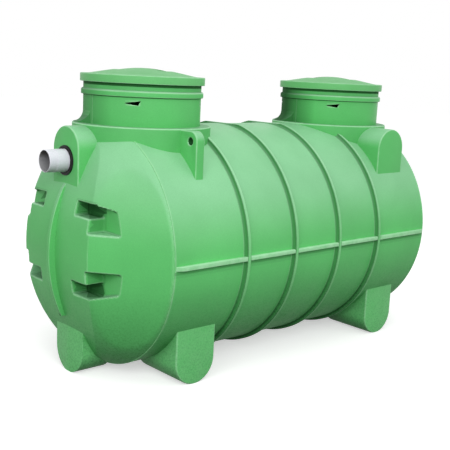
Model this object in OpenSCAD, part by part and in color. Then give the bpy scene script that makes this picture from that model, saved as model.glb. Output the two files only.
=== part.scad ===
// Underground septic tank of rotation-moulded polyethylene: a lying round barrel with dished ends,
// two manhole necks with lids, stiffening ribs, moulded feet and an inlet and an outlet pipe.
// X runs along the barrel with the inlet at -X, Y across it, Z up. The origin is on the floor,
// under the middle of the tank.

/* [Barrel] */
// Outer diameter of the round barrel, without its ribs
barrel_d = 1240; // [1160:10:1500]
// Length of the straight barrel between its two end edges
barrel_l = 1950; // [1760:10:2600]
// Wall thickness of the moulded polyethylene
wall = 10; // [6:1:14]
// How far the feet hold the barrel's underside above the floor
ground_gap = 25; // [22:1:60]

/* [Ribs and flanges] */
// Distance between neighbouring ribs
rib_pitch = 346; // [260:2:380]
// Thickness of a rib along the barrel
rib_t = 22; // [12:1:34]
// How far the ribs and the side flanges stand out from the barrel
rib_h = 20; // [12:1:21]
// Thickness of the side flange along the mould's parting line
flange_t = 23; // [14:1:34]
// Length of the tapered run-out at each end of a side flange
flange_taper = 42; // [10:1:90]

/* [Dished ends] */
// How far an end panel stands beyond the barrel's end edge
end_depth = 277; // [250:1:300]
// Radius of the dish of each end
dish_r = 814; // [780:2:900]
// Radius of the knuckle that joins dish and barrel
knuckle_r = 418; // [380:2:440]
// Angle of the knuckle to the barrel at the end edge
knuckle_edge = 24; // [20:0.5:26]
// Upright bow radius of the end panel
panel_r = 947; // [800:1:1200]
// Slant of each half of the end panel, which meet in a shallow ridge
panel_v = 1.5; // [0.5:0.1:3]
// Turn of the two flatter side panels away from the end panel
side_turn = 39; // [36:0.5:42]
// How far the end fin stands out from the panel at its middle
fin_out = 33; // [20:1:50]
// Thickness of the end fin
fin_t = 22; // [12:1:34]
// Upright bow radius of the fin's edge
fin_r = 740; // [600:1:900]
// Height of the fin's top above the barrel's axis
fin_top = 310; // [250:1:330]
// Depth of the fin's foot below the barrel's axis
fin_low = 343; // [280:1:360]

/* [Strap pockets] */
// Plane of the pockets' flat back wall, inward from the panel's middle
pocket_back = 116; // [96:1:124]
// Half distance between the long steps of a pair of pockets
pocket_y = 147; // [110:1:180]
// Half distance between the short steps of a pair of pockets
pocket_y2 = 272; // [240:1:290]
// Height of the upper pocket's foot above the axis
pocket_up = 132; // [100:1:150]
// Depth of the lower pocket's head below the axis
pocket_dn = 50; // [30:1:80]
// Height of the short step of a pocket
pocket_h2 = 68; // [50:1:74]
// Height of the long step of a pocket
pocket_h = 70; // [50:1:74]
// Slant of a pocket's far edge towards the barrel
pocket_slant = 15; // [0:1:18]

/* [Necks and lids] */
// Distance of each neck from the middle of the tank
neck_x = 736; // [700:1:850]
// Outer diameter of a neck
neck_d = 608; // [520:2:620]
// Height of the ledge above the crest of the barrel
ledge_up = 4; // [2:1:12]
// Width of the collar's ledge round a neck
ledge_w = 55; // [36:1:75]
// Height of a neck above its ledge
neck_h = 240; // [180:1:400]
// Height of the bead's underside above the ledge
bead_up = 142; // [90:1:150]
// Height of the bead round a neck
bead_h = 32; // [16:1:44]
// How far the bead stands out from the neck
bead_out = 11; // [5:1:14]
// Height of the fairing at the foot of each neck, on its rear side
fairing_h = 62; // [30:1:80]
// How far a lid's rim stands out past its neck
lid_over = 17; // [14:1:30]
// Rise of a lid's dome above its rim
lid_rise = 36; // [20:1:60]
// Thickness of a lid
lid_t = 8; // [5:1:12]
// How far a lid's rim hangs down over its neck
lid_hang = 33; // [20:1:40]
// Depth of the two quarter-round grip recesses below the lid's middle
grip_dp = 12; // [8:1:16]
// Width of the four slot pockets round a neck, under its bead
slot_w = 78; // [50:2:90]
// Height of a slot pocket
slot_h = 22; // [14:1:28]
// Depth of a slot pocket
slot_dp = 7; // [4:1:8]

/* [Side and end blocks] */
// Half width and arch radius of the inlet, outlet and side blocks
block_r = 116; // [100:1:130]
// How far below the ledge the arch of a block tops out
block_drop = 8; // [4:1:20]
// Distance of an end block's face from the middle of the end panel, inward
block_in = 62; // [40:1:64]
// How far a side block's face stands out from its collar
block_out = 149; // [120:1:165]

/* [Lifting lugs] */
// Thickness of a lifting lug
lug_t = 51; // [30:1:60]
// How far a lug's outer edge stands out from its collar
lug_out = 124; // [110:1:150]
// Corner radius of a lug
lug_round = 50; // [36:1:60]
// Diameter of the hole in a lug
lug_hole = 38; // [24:1:44]

/* [Feet] */
// Half width and bottom radius of a foot
foot_r = 124; // [100:1:140]
// Distance of a side foot's face from the barrel's axis
foot_y = 510; // [480:1:530]
// Length of a side foot, from its face inwards
foot_l = 330; // [250:1:400]
// Distance of an end foot's face from the middle of the end panel, inward
foot_in = 90; // [70:1:110]
// How far a foot's round underside is flattened
foot_flat = 3; // [2:1:8]
// Slant of each half of an end foot's face
foot_v = 3; // [1:0.5:6]

/* [Pipes] */
// Outer diameter of the inlet and outlet pipes
pipe_d = 110; // [100:1:125]
// Wall thickness of the pipes
pipe_t = 3.2; // [2.2:0.1:5]
// How far a pipe stands out from its block's face
pipe_out = 116; // [60:1:200]
// How far a pipe reaches inwards from its block's face
pipe_in = 150; // [120:1:220]
// Drop of the inlet pipe's axis below the ledge
pipe_drop = 177; // [160:1:186]
// How much lower the outlet pipe lies than the inlet pipe
pipe_fall = 25; // [10:1:30]
// Height of the sloping shoulder where a pipe thickens, just outside its seal
pipe_step = 1.5; // [1:0.5:3]
// Thickness of a rubber seal's sleeve round the pipe
seal_t = 5.5; // [4:0.5:7]
// Width of a rubber seal's face ring, from the pipe outwards
seal_over = 19; // [14:1:25]
// How far a seal's face ring stands out from its block
seal_h = 9; // [4:1:14]

/* [Hidden] */
$fn = 180;
e = 1;                                   // overrun of a cutting shape past the face it cuts
rib_n = 4;
barrel_r = barrel_d / 2;
axis_h = barrel_r + ground_gap;          // height of the barrel's axis above the floor
half_l = barrel_l / 2;
rib_r = barrel_r + rib_h;
knuckle_c = barrel_r - knuckle_r * cos(knuckle_edge);   // knuckle centre: radius from the axis
knuckle_x = half_l - knuckle_r * sin(knuckle_edge);     // and place along the barrel
dish_x = knuckle_x - sqrt(pow(dish_r - knuckle_r, 2) - pow(knuckle_c, 2));
dish_turn = atan2(knuckle_c, knuckle_x - dish_x);       // angle at which dish and knuckle meet
panel_x = half_l + end_depth;            // the end panel's middle
side_d = (half_l + 6) * cos(side_turn) + barrel_r * sin(side_turn);
side_r = barrel_r / sin(side_turn);      // so the side panels meet the barrel on one upright plane
ledge_z = barrel_r + ledge_up;           // this and the heights below are above the barrel's axis
neck_r = neck_d / 2;
bore_r = neck_r - wall;
collar_r = neck_r + ledge_w;
neck_top = ledge_z + neck_h;
bead_z = ledge_z + bead_up;
lid_r = neck_r + lid_over;
dome_r = bore_r - 4;                     // the lid is flat where it lies on the neck's edge
grip_web = 6;                            // web left between the two grip recesses
block_x = panel_x - block_in;
block_z = ledge_z - block_drop - block_r;
block_y = collar_r + block_out;
lug_z = ledge_z - 4 - lug_round;
lug_y = collar_r + lug_out;
pipe_r = pipe_d / 2;
pipe_z = ledge_z - pipe_drop;
outlet_pipe_z = pipe_z - pipe_fall;
pipe_hole_r = pipe_r + pipe_step + seal_t;
foot_z = -axis_h + foot_r - foot_flat;
foot_x = panel_x - foot_in;
fin_x = panel_x + fin_out;
green = [0.33, 0.68, 0.40];

function rib_x(i) = (i - (rib_n - 1) / 2) * rib_pitch;

// Upper surface of a lid at radius r
function lid_top(r) = neck_top + lid_t + lid_rise * pow(1 - pow(min(r, dome_r) / dome_r, 2), 1.3);

// A cylinder along X, centred on the origin
module rod_x(r, l) { rotate([0, 90, 0]) cylinder(r = r, h = l, center = true); }

// A cylinder along Y, centred on the origin
module rod_y(r, l) { rotate([90, 0, 0]) cylinder(r = r, h = l, center = true); }

// Lifts a piece from the barrel's axis to its height above the floor
module place() { color(green) translate([0, 0, axis_h]) children(); }

// The tank has the same form turned half a turn about Z, but for the lower outlet pipe
module turned() { rotate([0, 0, 180]) children(); }

// The half of a piece above the mould's parting plane, and the half below it
module upper() {
    intersection() {
        children();
        translate([-barrel_l, -barrel_d, 0]) cube([2 * barrel_l, 2 * barrel_d, barrel_d]);
    }
}
module lower() {
    intersection() {
        children();
        translate([-barrel_l, -barrel_d, -barrel_d]) cube([2 * barrel_l, 2 * barrel_d, barrel_d]);
    }
}

// Stretches an outline drawn in Y and Z along X, from x0 to x1
module along_x(x0, x1) {
    translate([x0, 0, 0]) rotate([90, 0, 90]) linear_extrude(height = x1 - x0) children();
}

// Stretches an outline drawn in X and Z along Y, from y0 to y1
module along_y(y0, y1) {
    translate([0, y1, 0]) rotate([90, 0, 0]) linear_extrude(height = y1 - y0) children();
}

// Half outline of a dished end, o inside its outer surface: radius against distance along X
function dish_outline(o) = concat(
    [[0, knuckle_x + (knuckle_r - o) * sin(knuckle_edge)]],
    [for (i = [0:10]) let (a = knuckle_edge + (90 - dish_turn - knuckle_edge) * i / 10)
        [knuckle_c + (knuckle_r - o) * cos(a), knuckle_x + (knuckle_r - o) * sin(a)]],
    [for (i = [1:12]) let (a = dish_turn * (1 - i / 12))
        [(dish_r - o) * sin(a), dish_x + (dish_r - o) * cos(a)]]);

// Upright bowed panel square to -X, at distance d from the origin, turned by a
module bowed_panel(d, r, a) {
    rotate([0, 0, a]) translate([r - d, 0, 0]) rod_y(r, 3 * barrel_d);
}

// Solid dished end at -X with its folded end panel and its two side panels, o inside the outer surface
module end_solid(o) {
    intersection() {
        rotate([0, -90, 0]) rotate_extrude() polygon(dish_outline(o));
        translate([-panel_x + o, 0, 0]) bowed_panel(0, panel_r - o, panel_v);
        translate([-panel_x + o, 0, 0]) bowed_panel(0, panel_r - o, -panel_v);
        bowed_panel(side_d - o, side_r - o, side_turn);
        bowed_panel(side_d - o, side_r - o, -side_turn);
    }
}

// Outline of a stepped strap pocket above its foot, grown by g, for the side at +Y
module pocket_outline(g) {
    step = pocket_h2;
    top = pocket_h2 + pocket_h;
    far = pocket_y2 + 230;
    polygon([[pocket_y - g, step - g], [pocket_y2 - g, step - g], [pocket_y2 - g, -g], [far, -g],
        [far, top + g - (far - pocket_y2) * tan(pocket_slant)], [pocket_y2, top + g],
        [pocket_y - g, top + g]]);
}

// The four strap pockets of the end at -X, grown by g
module pockets(g) {
    for (s = [0, 1]) mirror([0, s, 0]) {
        translate([0, 0, pocket_up])
            along_x(-panel_x - 50, -panel_x + pocket_back + g) pocket_outline(g);
        mirror([0, 0, 1]) translate([0, 0, pocket_dn])
            along_x(-panel_x - 50, -panel_x + pocket_back + g) pocket_outline(g);
    }
}

// Dished end at -X with its pockets, its share of the manhole and a pipe hole at height z
module dished_end(z) {
    difference() {
        end_solid(0);
        difference() {
            end_solid(wall);
            pockets(wall);
        }
        pockets(0);
        translate([-neck_x, 0, 0]) cylinder(r = bore_r, h = barrel_d);
        translate([-panel_x, 0, z]) rod_x(pipe_hole_r, 600);
    }
}

// Upright round collar at -X, from the barrel and the end up to a flat ledge
module collar() {
    difference() {
        translate([-neck_x, 0, 0]) cylinder(r = collar_r, h = ledge_z);
        rod_x(barrel_r, barrel_l);
        end_solid(0);
        translate([-neck_x, 0, -e]) cylinder(r = bore_r, h = ledge_z + 2 * e);
    }
}

// One slot pocket's outline, seen from outside: a wedge with its high end at the right
module slot_outline() {
    polygon([[-slot_w / 2, 0], [slot_w / 2, slot_h / 2], [slot_w / 3, -slot_h / 2],
        [-slot_w / 2 + 5, -slot_h / 6]]);
}

// Manhole neck with its bead, slot pockets and the fairing at its rear foot
module neck(x) {
    translate([x, 0, 0]) difference() {
        union() {
            rotate_extrude() polygon([[bore_r, ledge_z], [neck_r, ledge_z], [neck_r, bead_z],
                [neck_r + bead_out, bead_z + 2], [neck_r + bead_out, bead_z + bead_h - 9],
                [neck_r + bead_out / 2, bead_z + bead_h - 2], [neck_r, bead_z + bead_h],
                [neck_r, neck_top], [bore_r, neck_top]]);
            rotate([0, 0, 98]) rotate_extrude(angle = 84) polygon(concat(
                [[neck_r - wall / 2, ledge_z]],
                [for (i = [0:8]) let (a = 90 - 90 * i / 8)
                    [collar_r - 2 - (collar_r - 2 - neck_r) * cos(a),
                        ledge_z + fairing_h * (1 - sin(a))]],
                [[neck_r - wall / 2, ledge_z + fairing_h]]));
        }
        for (a = [45, 135, 225, 315]) rotate([0, 0, a + 90])
            along_y(-neck_r - 2 * e, -neck_r + slot_dp) translate([0, bead_z - slot_h - 6]) slot_outline();
    }
}

// One quarter of the space round the axis, g larger towards the axis, from z0 to z1, r wide
module quarter(g, z0, z1, r) {
    translate([grip_web / 2 - g, -r, z0]) cube([r, r + g, z1 - z0]);
}

// Domed lid with an overhanging rim and two opposite grip recesses, each a quarter round
module lid(x) {
    grip_z = lid_top(0) - grip_dp;
    top = [for (i = [0:16]) let (r = dome_r * i / 16) [r, lid_top(r)]];
    translate([x, 0, 0]) difference() {
        union() {
            rotate_extrude() polygon(concat(top,
                [[lid_r - 4, neck_top + lid_t], [lid_r, neck_top + lid_t - 4],
                    [lid_r, neck_top - lid_hang], [lid_r - lid_t, neck_top - lid_hang],
                    [lid_r - lid_t, neck_top]],
                [for (i = [16:-1:0]) let (r = dome_r * i / 16) [r, lid_top(r) - lid_t]]));
            intersection() {
                for (s = [0, 180]) rotate([0, 0, s])
                    quarter(lid_t, grip_z - lid_t, grip_z + grip_dp, dome_r * 0.7);
                rotate_extrude() polygon(concat([[0, neck_top]], top));
            }
        }
        for (s = [0, 180]) rotate([0, 0, s]) quarter(0, grip_z, grip_z + 2 * grip_dp, dome_r);
    }
}

// Stiffening rib round the barrel, level with the ledges on top and cut off where it meets a collar
module rib(i) {
    difference() {
        translate([rib_x(i), 0, 0]) rod_x(rib_r, rib_t);
        translate([rib_x(i), 0, 0]) rod_x(barrel_r, rib_t + 2 * e);
        translate([rib_x(i) - rib_t, -barrel_d / 2, ledge_z]) cube([2 * rib_t, barrel_d, barrel_d]);
        for (s = [-1, 1]) translate([s * neck_x, 0, 0]) cylinder(r = collar_r, h = barrel_d);
    }
}

// Side flange on the parting line, in lengths between the ribs, for the side at -Y
module flange() {
    difference() {
        for (i = [0:rib_n]) {
            x0 = i == 0 ? -half_l : rib_x(i - 1) + rib_t / 2;
            x1 = i == rib_n ? half_l : rib_x(i) - rib_t / 2;
            translate([0, 0, -flange_t / 2]) linear_extrude(height = flange_t)
                polygon([[x0, -barrel_r + wall], [x0, -barrel_r],
                    [x0 + (i == 0 ? flange_taper : 0), -rib_r],
                    [x1 - (i == rib_n ? flange_taper : 0), -rib_r],
                    [x1, -barrel_r], [x1, -barrel_r + wall]]);
        }
        rod_x(barrel_r, barrel_l + 2 * e);
    }
}

// Bowed upright fin on the middle of the end panel at -X
module fin() {
    x0 = -fin_x - 20;
    x1 = -panel_x + 140;
    difference() {
        along_y(-fin_t / 2, fin_t / 2) intersection() {
            translate([-fin_x + fin_r, (fin_top - fin_low) / 2]) circle(r = fin_r);
            polygon([[x0, -fin_low], [x1, -fin_low], [x1, fin_top + (x1 + panel_x) * 0.9],
                [x0, fin_top + (x0 + panel_x - 51) * 1.2]]);
        }
        end_solid(0);
    }
}

// Arch outline with its round top at height z, reaching down by d
module arch(z, d) {
    translate([0, z]) circle(r = block_r);
    translate([-block_r, z - d]) square([2 * block_r, d]);
}

// Arched block between the end at -X and the collar, with a pipe hole at height z
module pipe_block(z) {
    difference() {
        along_x(-block_x, -neck_x) arch(block_z, 330);
        rod_x(barrel_r, barrel_l);
        end_solid(0);
        translate([-neck_x, 0, -e]) cylinder(r = collar_r, h = barrel_d);
        translate([-block_x, 0, z]) rod_x(pipe_hole_r, 500);
    }
}

// Blank arched block at -Y of the collar at +X
module side_block() {
    difference() {
        translate([neck_x, 0, 0]) along_y(-block_y, 0) arch(block_z, 330);
        rod_x(barrel_r, barrel_l);
        translate([neck_x, 0, -e]) cylinder(r = collar_r, h = barrel_d);
    }
}

// Upright lifting plate with a rounded corner, at -Y of the collar at -X
module lug() {
    difference() {
        along_x(-neck_x - lug_t / 2, -neck_x + lug_t / 2) difference() {
            union() {
                translate([-lug_y + lug_round, lug_z]) circle(r = lug_round);
                translate([-lug_y, 0]) square([lug_y, lug_z]);
                translate([-lug_y + lug_round, 0]) square([lug_y - lug_round, lug_z + lug_round]);
            }
            translate([-lug_y + lug_round, lug_z]) circle(d = lug_hole);
        }
        rod_x(barrel_r, barrel_l);
        translate([-neck_x, 0, -e]) cylinder(r = collar_r, h = barrel_d);
    }
}

// Foot outline: upright sides over a round underside, flattened where it stands
module foot_outline() {
    intersection() {
        union() {
            translate([0, foot_z]) circle(r = foot_r);
            translate([-foot_r, foot_z]) square([2 * foot_r, 400]);
        }
        translate([-foot_r - e, -axis_h]) square([2 * foot_r + 2 * e, 800]);
    }
}

// Side foot at -Y, at place x along the barrel
module side_foot(x) {
    difference() {
        translate([x, 0, 0]) along_y(-foot_y, -foot_y + foot_l) foot_outline();
        rod_x(barrel_r, barrel_l);
    }
}

// Foot under the end at -X, its face folded along the middle
module end_foot() {
    back = -half_l - 4;
    difference() {
        intersection() {
            along_x(-foot_x, back) foot_outline();
            translate([0, 0, -axis_h - e]) linear_extrude(height = 800)
                polygon([[-foot_x, 0], [-foot_x + foot_r * tan(foot_v), -foot_r],
                    [back, -foot_r], [back, foot_r], [-foot_x + foot_r * tan(foot_v), foot_r]]);
        }
        end_solid(0);
    }
}

// Rubber seal with a face ring on the block and a sleeve in its hole, at height z
module seal(z) {
    color([0.08, 0.09, 0.09]) translate([0, 0, axis_h + z]) difference() {
        union() {
            translate([-block_x - seal_h / 2, 0, 0]) rod_x(pipe_r + seal_over, seal_h);
            translate([-block_x + 14, 0, 0]) rod_x(pipe_hole_r, 28);
        }
        translate([-block_x, 0, 0]) rod_x(pipe_r + pipe_step, 200);
    }
}

// Plastic drain pipe through the seal, at height z: a spigot outside, thicker from the seal inwards
module pipe(z) {
    bore = pipe_r - pipe_t;
    seat = pipe_r + pipe_step;
    color([0.84, 0.86, 0.88]) translate([-block_x, 0, axis_h + z]) rotate([0, -90, 0])
        rotate_extrude() polygon([[bore, -pipe_in], [seat, -pipe_in], [seat, seal_h],
            [pipe_r, seal_h + pipe_step], [pipe_r, pipe_out], [bore, pipe_out]]);
}

module barrel_top() {
    place() upper() difference() {
        rod_x(barrel_r, barrel_l);
        rod_x(barrel_r - wall, barrel_l + 2 * e);
        for (s = [-1, 1]) translate([s * neck_x, 0, 0]) cylinder(r = bore_r, h = barrel_d);
    }
}
module barrel_bottom() {
    place() lower() difference() {
        rod_x(barrel_r, barrel_l);
        rod_x(barrel_r - wall, barrel_l + 2 * e);
    }
}
module inlet_end_top() { place() upper() dished_end(pipe_z); }
module inlet_end_bottom() { place() lower() dished_end(pipe_z); }
module outlet_end_top() { turned() place() upper() dished_end(outlet_pipe_z); }
module outlet_end_bottom() { turned() place() lower() dished_end(outlet_pipe_z); }
module inlet_collar() { place() collar(); }
module outlet_collar() { turned() inlet_collar(); }
module inlet_neck() { place() neck(-neck_x); }
module outlet_neck() { place() neck(neck_x); }
module inlet_lid() { place() lid(-neck_x); }
module outlet_lid() { place() lid(neck_x); }
module rib_1() { place() rib(0); }
module rib_2() { place() rib(1); }
module rib_3() { place() rib(2); }
module rib_4() { place() rib(3); }
module front_flange() { place() flange(); }
module rear_flange() { turned() front_flange(); }
module inlet_fin() { place() fin(); }
module outlet_fin() { turned() inlet_fin(); }
module inlet_block() { place() pipe_block(pipe_z); }
module outlet_block() { turned() place() pipe_block(outlet_pipe_z); }
module front_side_block() { place() side_block(); }
module rear_side_block() { turned() front_side_block(); }
module front_lifting_lug() { place() lug(); }
module rear_lifting_lug() { turned() front_lifting_lug(); }
module front_inlet_foot() { place() side_foot(-neck_x); }
module front_outlet_foot() { place() side_foot(neck_x); }
module rear_inlet_foot() { turned() front_outlet_foot(); }
module rear_outlet_foot() { turned() front_inlet_foot(); }
module inlet_end_foot() { place() end_foot(); }
module outlet_end_foot() { turned() inlet_end_foot(); }
module inlet_seal() { seal(pipe_z); }
module outlet_seal() { turned() seal(outlet_pipe_z); }
module inlet_pipe() { pipe(pipe_z); }
module outlet_pipe() { turned() pipe(outlet_pipe_z); }

barrel_top();
barrel_bottom();
inlet_end_top();
inlet_end_bottom();
outlet_end_top();
outlet_end_bottom();
inlet_collar();
outlet_collar();
inlet_neck();
outlet_neck();
inlet_lid();
outlet_lid();
rib_1();
rib_2();
rib_3();
rib_4();
front_flange();
rear_flange();
inlet_fin();
outlet_fin();
inlet_block();
outlet_block();
front_side_block();
rear_side_block();
front_lifting_lug();
rear_lifting_lug();
front_inlet_foot();
front_outlet_foot();
rear_inlet_foot();
rear_outlet_foot();
inlet_end_foot();
outlet_end_foot();
inlet_seal();
outlet_seal();
inlet_pipe();
outlet_pipe();
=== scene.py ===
import math

import bmesh
import bpy
from mathutils import Matrix, Vector


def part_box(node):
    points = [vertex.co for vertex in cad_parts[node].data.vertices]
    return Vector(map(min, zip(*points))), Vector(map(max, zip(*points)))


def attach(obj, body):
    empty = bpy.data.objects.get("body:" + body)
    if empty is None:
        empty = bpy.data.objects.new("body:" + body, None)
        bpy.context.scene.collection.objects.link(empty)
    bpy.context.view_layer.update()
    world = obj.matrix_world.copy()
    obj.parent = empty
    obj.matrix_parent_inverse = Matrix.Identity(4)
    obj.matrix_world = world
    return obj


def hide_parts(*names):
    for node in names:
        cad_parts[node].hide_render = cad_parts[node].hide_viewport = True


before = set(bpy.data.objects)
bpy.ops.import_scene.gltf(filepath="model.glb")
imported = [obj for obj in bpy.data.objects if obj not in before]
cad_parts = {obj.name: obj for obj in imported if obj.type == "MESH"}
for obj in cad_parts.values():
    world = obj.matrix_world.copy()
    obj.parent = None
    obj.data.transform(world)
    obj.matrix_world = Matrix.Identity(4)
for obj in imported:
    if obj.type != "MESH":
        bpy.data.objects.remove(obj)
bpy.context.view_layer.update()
scene = bpy.context.scene

# ---- View -------------------------------------------------------------------------------------
# The tank is seen from its inlet end and front side, from a little above its lids. The lens is
# long enough to keep the barrel's lines nearly parallel.
view_place = Vector((-3.269, -3.468, 1.554))
view_right = Vector((0.7449, -0.6655, 0.0468))
view_up = Vector((0.0892, 0.1688, 0.9816))
camera_data = bpy.data.cameras.new("camera")
camera_data.sensor_width = 36
camera_data.lens = 65.08
camera = bpy.data.objects.new("camera", camera_data)
scene.collection.objects.link(camera)
view_axes = Matrix((view_right, view_up, view_right.cross(view_up))).transposed()
camera.matrix_world = Matrix.Translation(view_place) @ view_axes.to_4x4()
scene.camera = camera
scene.view_settings.view_transform = "Standard"

# ---- Floor and light --------------------------------------------------------------------------
# A pale plain studio floor under an even white sky, with broad soft lamps in front, overhead and
# to both sides. The floor throws little light back up on the tank.
floor_dark, floor_pale, floor_glow = (0.10, 0.10, 0.10, 1), (0.80, 0.80, 0.80, 1), 0.5
sky_level, sky_seen = 0.64, 1.0


def add_node(tree, kind, links, **settings):
    """Adds a node, sets its fields, and feeds its sockets with sockets or plain values."""
    node = tree.nodes.new(kind)
    for field, value in settings.items():
        setattr(node, field, value)
    for socket, source in links.items():
        if isinstance(source, bpy.types.NodeSocket):
            tree.links.new(source, node.inputs[socket])
        else:
            node.inputs[socket].default_value = source
    return node


def seen_rays(tree):
    """1 for what the camera sees, straight, mirrored or through glass, and 0 for plain light."""
    rays = add_node(tree, "ShaderNodeLightPath", {}).outputs
    seen = add_node(tree, "ShaderNodeMath", {0: rays["Is Camera Ray"], 1: rays["Is Glossy Ray"]},
                    operation="ADD")
    seen = add_node(tree, "ShaderNodeMath", {0: seen.outputs[0], 1: rays["Is Transmission Ray"]},
                    operation="ADD", use_clamp=True)
    return seen.outputs[0]


bpy.ops.object.select_all(action="DESELECT")
bpy.ops.mesh.primitive_plane_add(size=60, location=(0, 0, 0))
floor = bpy.context.object
floor.name = "studio_floor"
floor_paint = bpy.data.materials.new("pale_floor")
floor_paint.use_nodes = True
tree = floor_paint.node_tree
floor_shader = tree.nodes["Principled BSDF"]
floor_shader.inputs["Roughness"].default_value = 0.9
floor_shader.inputs["Specular IOR Level"].default_value = 0.1
floor_shader.inputs["Emission Color"].default_value = (1, 1, 1, 1)
seen = seen_rays(tree)
floor_tone = add_node(tree, "ShaderNodeMix", {"Factor": seen, 6: floor_dark, 7: floor_pale},
                      data_type="RGBA")
glow = add_node(tree, "ShaderNodeMath", {0: seen, 1: floor_glow}, operation="MULTIPLY")
tree.links.new(floor_tone.outputs[2], floor_shader.inputs["Base Color"])
tree.links.new(glow.outputs[0], floor_shader.inputs["Emission Strength"])
floor.data.materials.append(floor_paint)

sky = bpy.data.worlds.new("white_sky")
sky.use_nodes = True
tree = sky.node_tree
sky_light = tree.nodes["Background"]
sky_light.inputs["Color"].default_value = (1, 1, 1, 1)
strength = add_node(tree, "ShaderNodeMapRange", {"Value": seen_rays(tree), "To Min": sky_level,
                                                 "To Max": sky_seen})
tree.links.new(strength.outputs["Result"], sky_light.inputs["Strength"])
scene.world = sky


def soft_lamp(name, place, target, size, watts):
    """A square lamp that shines from place towards target."""
    data = bpy.data.lights.new(name, "AREA")
    data.size = size
    data.energy = watts
    lamp = bpy.data.objects.new(name, data)
    scene.collection.objects.link(lamp)
    aim = (Vector(target) - Vector(place)).to_track_quat("-Z", "Y")
    lamp.matrix_world = Matrix.Translation(place) @ aim.to_matrix().to_4x4()


soft_lamp("lamp_front", (-2.8, -4.9, 3.4), (-0.1, 0, 0.7), 3.0, 138)
soft_lamp("lamp_top", (0.4, -0.6, 6.2), (0, 0, 0.7), 4.0, 66)
soft_lamp("lamp_right", (3.0, -5.4, 1.9), (0.1, 0, 0.6), 2.8, 44)
soft_lamp("lamp_side", (-4.9, -2.2, 2.6), (-0.9, -0.2, 0.7), 2.4, 64)

# ---- Barrel -----------------------------------------------------------------------------------
# The round barrel is green polyethylene, rotation-moulded with a wall about 10 mm thick. A low
# bead runs round it where the mould's barrel and ends meet.
barrel_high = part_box("barrel_bottom")[1]
axis_z = barrel_high.z
barrel_r = barrel_high.y
half_l = barrel_high.x
barrel_wall = 0.010
bead_w, bead_h = 0.010, 0.0009
under_flange, flange_shadow_fade, flange_shadow_depth = 0.012, 0.032, 1.3
AXES = {"X": Vector((1, 0, 0)), "Y": Vector((0, 1, 0)), "Z": Vector((0, 0, 1))}
TURNS = {"X": (0, math.pi / 2, 0), "Y": (-math.pi / 2, 0, 0), "Z": (0, 0, 0)}


def only(piece):
    """Selects one piece, with nothing else, and makes it the active one."""
    bpy.ops.object.select_all(action="DESELECT")
    piece.select_set(True)
    bpy.context.view_layer.objects.active = piece


def set_in_place(piece):
    """Puts the piece's place, turn and scale into its mesh."""
    only(piece)
    bpy.ops.object.transform_apply(location=True, rotation=True, scale=True)


def ring_up(name, axis, centre, steps, segments, finish):
    """Builds a round piece from a circle that is extruded ring by ring. Each step is a radius
    and a distance along the axis. finish "loop" joins the last ring to the first one, and
    "poles" draws both of them together on the axis."""
    bpy.ops.object.select_all(action="DESELECT")
    along = AXES[axis]
    radius, place = steps[0]
    bpy.ops.mesh.primitive_circle_add(vertices=segments, radius=radius, rotation=TURNS[axis],
                                      location=centre + along * place)
    piece = bpy.context.object
    piece.name = piece.data.name = name
    set_in_place(piece)
    bpy.ops.object.mode_set(mode="EDIT")
    bpy.ops.mesh.select_mode(type="VERT")
    bpy.ops.mesh.select_all(action="SELECT")
    for new_radius, new_place in steps[1:]:
        bpy.ops.mesh.extrude_region_move(
            TRANSFORM_OT_translate={"value": along * (new_place - place)})
        scale = new_radius / radius
        bpy.ops.transform.resize(value=[1 if a == axis else scale for a in "XYZ"],
                                 center_override=centre + along * new_place)
        radius, place = new_radius, new_place
    if finish == "poles":
        bpy.ops.mesh.merge(type="CENTER")
    bpy.ops.object.mode_set(mode="OBJECT")
    count = len(piece.data.vertices)
    for v in piece.data.vertices:
        v.select = v.index < segments or (finish == "loop" and v.index >= count - segments)
    bpy.ops.object.mode_set(mode="EDIT")
    bpy.ops.mesh.select_mode(type="VERT")
    if finish == "loop":
        bpy.ops.mesh.select_mode(type="EDGE")
        bpy.ops.mesh.bridge_edge_loops()
    else:
        bpy.ops.mesh.merge(type="CENTER")
    bpy.ops.mesh.select_mode(type="VERT")
    bpy.ops.object.mode_set(mode="OBJECT")
    bpy.ops.object.mode_set(mode="EDIT")
    bpy.ops.mesh.select_all(action="SELECT")
    bpy.ops.mesh.normals_make_consistent(inside=False)
    bpy.ops.object.mode_set(mode="OBJECT")
    return piece


def rounded(corners, radius, steps=3):
    """Rounds the inner corners of a run of (radius, distance) points by short straight steps."""
    out = [corners[0]]
    for before, here, after in zip(corners, corners[1:], corners[2:]):
        here = Vector(here)
        a, b = Vector(before) - here, Vector(after) - here
        reach = min(radius, a.length * 0.45, b.length * 0.45)
        a, b = here + a.normalized() * reach, here + b.normalized() * reach
        for i in range(steps + 1):
            t = i / steps
            out.append(tuple(a * (1 - t) ** 2 + here * 2 * t * (1 - t) + b * t * t))
    return out + [corners[-1]]


def mark_edges(piece):
    """Stores on each face how sharply it bends outwards or inwards to its neighbours."""
    mesh = piece.data
    shape = bmesh.new()
    shape.from_mesh(mesh)
    shape.faces.ensure_lookup_table()
    areas = [f.calc_area() for f in shape.faces]
    wear_and_highlight, painted_shade = [0.0] * len(areas), [0.0] * len(areas)
    for edge in shape.edges:
        if len(edge.link_faces) != 2:
            continue
        a, b = edge.link_faces
        width = (areas[a.index] + areas[b.index]) / 2 / max(edge.calc_length(), 1e-6)
        bend = edge.calc_face_angle_signed(0) / max(width, 0.0015)
        # Outward bends get rubbed wear with a painted highlight; inward bends get painted shade.
        strength = min(max((abs(bend) - 25) / 110, 0), 1)
        marks = wear_and_highlight if bend > 0 else painted_shade
        for f in (a.index, b.index):
            marks[f] = max(marks[f], strength)
    shape.free()
    for label, values in (("wear_and_highlight", wear_and_highlight), ("painted_shade", painted_shade)):
        mesh.attributes.new(label, "FLOAT", "FACE").data.foreach_set("value", values)


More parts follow.
